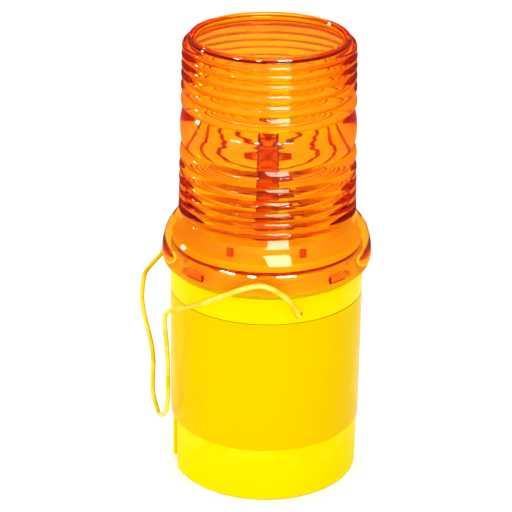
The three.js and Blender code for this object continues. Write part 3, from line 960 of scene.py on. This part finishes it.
legs = [(20.5, -1.27), (20.5, 0.0), (20.5, 1.27)]
package_bm = slab(2.3, 2.1, 0.9, soft_levels(142.0, 146.0, 0.2), centre=(20.5, 0), steps=5)
transistor = add_object("transistor_body", join(package_bm, *pins(legs, 0.22, ON_BOARD, 142.3)), 30)
dress(transistor, parts_dark, "module", "transistor")

resistor_profile = [
    (0.0, -3.6), (0.3, -3.6), (0.3, -2.8), (1.1, -2.7), (1.4, -2.3), (1.4, -1.5), (1.2, -1.1),
    (1.2, 1.1), (1.4, 1.5), (1.4, 2.3), (1.1, 2.7), (0.3, 2.8), (0.3, 3.6), (0.0, 3.6),
]
for label, x in (("a", -20.0), ("b", -14.5)):
    bead = turned(resistor_profile, 40)
    on_side = Matrix.Rotation(math.radians(90), 4, "X")
    bead.transform(Matrix.Translation((x * MM, 6 * MM, 142.6 * MM)) @ on_side)
    resistor = add_object(f"resistor_bead_{label}", bead, 40)
    dress(resistor, parts_tan, "module", f"resistor_{label}")

SCREW_REACH = 27
SLOT_LEVELS = [(142.2, 0.0), (144.0, 0.0)]
screw_profile = fillet([
    (0.0, ON_BOARD), (2.8, ON_BOARD, 0.1), (2.9, 141.9, 0.3), (2.4, 142.6, 0.5), (1.4, 143.1, 0.5),
    (0.0, 143.2),
], 4)
for k, label in enumerate("abc"):
    a = math.radians(30 + 120 * k)
    x, y = SCREW_REACH * math.cos(a), SCREW_REACH * math.sin(a)
    screw = add_object(f"board_screw_head_{label}", turned(screw_profile, 48, centre=(x, y)), 40)
    for spin in (0, 90):
        slot = slab(1.5, 0.3, 0.05, SLOT_LEVELS, turn=spin + 17 * k, steps=1)
        slot.transform(Matrix.Translation((x * MM, y * MM, 0)))
        cut(screw, add_object("slot_helper", slot), 35)
    dress(screw, steel, "module", f"board_screw_{label}")

SWITCH_CREASE = 30
SWITCH_CENTRE = (8.5, -17.5)
housing = slab(3.5, 7.5, 0.5, soft_levels(ON_BOARD, 146.8, 0.3), centre=SWITCH_CENTRE, steps=4)
well = slab(1.8, 5.8, 0.3, [(144.1, 0.0), (148.2, 0.0)], centre=SWITCH_CENTRE, steps=4)
switch = add_object("switch_housing", housing, SWITCH_CREASE)
cut(switch, add_object("well_helper", well), SWITCH_CREASE)
dress(switch, parts_dark, "module", "switch_body")

# The slider's top is ribbed for the thumb
slider_levels = [
    (144.5, 0.1), (144.6, 0.0), (149.4, 0.0), (149.5, 0.12), (149.75, 0.0), (149.85, 0.12),
    (150.1, 0.0), (150.3, 0.05), (150.45, 0.2), (150.5, 0.4),
]
slider_bm = slab(1.5, 1.7, 0.3, slider_levels, centre=(8.5, -21.0), steps=4)
slider = add_object("switch_thumb_slider", slider_bm, 30)
dress(slider, slider_yellow, "mode_switch", "switch_slider")


# ---------------------------------------------------------------- floor, light and camera

floor_mesh = bpy.data.meshes.new("floor")
floor_bm = bmesh.new()
bmesh.ops.create_grid(floor_bm, x_segments=8, y_segments=8, size=6.0)
floor_bm.to_mesh(floor_mesh)
floor_bm.free()
floor = bpy.data.objects.new("floor", floor_mesh)
floor.location.z = -0.0002
scene.collection.objects.link(floor)
n = Nodes("floor_pale")
n.link(n.mix(n.noise(3.0), (0.9, 0.9, 0.9), (0.88, 0.88, 0.88)), n.shader.inputs["Base Color"])
n.shader.inputs["Roughness"].default_value = 0.9
n.shader.inputs["Specular IOR Level"].default_value = 0.1
floor.data.materials.append(n.material)

# A white sky that grows brighter overhead
world = bpy.data.worlds.new("studio")
scene.world = world
world.use_nodes = True
sky = world.node_tree
direction = sky.nodes.new("ShaderNodeTexCoord")
height = sky.nodes.new("ShaderNodeSeparateXYZ")
ramp = sky.nodes.new("ShaderNodeMapRange")
ramp.interpolation_type = "SMOOTHSTEP"
ramp.inputs["From Min"].default_value = 0.45
ramp.inputs["From Max"].default_value = 0.85
ramp.inputs["To Min"].default_value = 1.25
ramp.inputs["To Max"].default_value = 1.75
sky.links.new(direction.outputs["Generated"], height.inputs["Vector"])
sky.links.new(height.outputs["Z"], ramp.inputs["Value"])
sky.links.new(ramp.outputs["Result"], sky.nodes["Background"].inputs["Strength"])
sky.nodes["Background"].inputs["Color"].default_value = (1.0, 1.0, 1.0, 1)

# The photo's contrast: its shadows are deep
scene.view_settings.view_transform = "Standard"
scene.view_settings.use_curve_mapping = True
toe = scene.view_settings.curve_mapping
for x, y in ((0.04, 0.004), (0.12, 0.055), (0.3, 0.27), (0.7, 0.77)):
    toe.curves[3].points.new(x, y)
toe.update()

# Light crosses the clear lens many times
scene.cycles.max_bounces = 32
scene.cycles.transmission_bounces = 32
scene.cycles.glossy_bounces = 8
scene.cycles.transparent_max_bounces = 16

# The camera, fitted to the photo looking along +Y and then turned round the lamp's axis
CAMERA_TURN = math.radians(-19.5)
PITCH = math.radians(23.71)
YAW = math.radians(-0.358)
ROLL = math.radians(0.701)
CAMERA_PLACE = Vector((0, -884.7, 506.3))
SENSOR_WIDTH = 36.0
FOCAL_LENGTH = 129.99375
turn_back = Matrix.Rotation(CAMERA_TURN, 3, "Z")
forward = Vector((math.sin(YAW) * math.cos(PITCH), math.cos(YAW) * math.cos(PITCH), -math.sin(PITCH)))
right = Vector((math.cos(YAW), -math.sin(YAW), 0))
up = right.cross(forward)
image_right = right * math.cos(ROLL) + up * math.sin(ROLL)
image_up = up * math.cos(ROLL) - right * math.sin(ROLL)
spin = Matrix((turn_back @ image_right, turn_back @ image_up, turn_back @ -forward)).transposed()
camera_data = bpy.data.cameras.new("camera")
camera_data.sensor_width = SENSOR_WIDTH
camera_data.lens = FOCAL_LENGTH
camera_data.clip_start = 0.01
camera_data.dof.use_dof = False
camera = bpy.data.objects.new("camera", camera_data)
camera.matrix_world = Matrix.Translation(turn_back @ CAMERA_PLACE * MM) @ spin.to_4x4()
scene.collection.objects.link(camera)
scene.camera = camera

LIT_POINT = Vector((0, 0, 0.13))


def softbox(name, azimuth, elevation, distance, width, height, watts):
    """An area light aimed at the lamp. Azimuth is from the camera's side, positive to the right."""
    a = math.radians(azimuth)
    e = math.radians(elevation)
    way = turn_back @ Vector((math.sin(a) * math.cos(e), -math.cos(a) * math.cos(e), math.sin(e)))
    data = bpy.data.lights.new(name, "AREA")
    data.shape = "RECTANGLE"
    data.size = width
    data.size_y = height
    data.energy = watts
    light = bpy.data.objects.new(name, data)
    light.location = LIT_POINT + way * distance
    light.rotation_euler = (-way).to_track_quat("-Z", "Y").to_euler()
    scene.collection.objects.link(light)
    return light


softbox("front_left", -41, 1.5, 1.6, 0.42, 0.032, 6.0)
softbox("front_mid", -14.5, 1.5, 1.6, 0.22, 0.032, 3.0)
softbox("front_right", 20.5, 1.5, 1.6, 0.56, 0.032, 7.6)
softbox("side_left", -104, 8, 1.5, 0.16, 0.16, 5.0)
window = softbox("window", 15.5, 42, 1.6, 0.66, 1.1, 32)
# The window only gives highlights, as its light on the yellow case would be too much
window.visible_diffuse = False
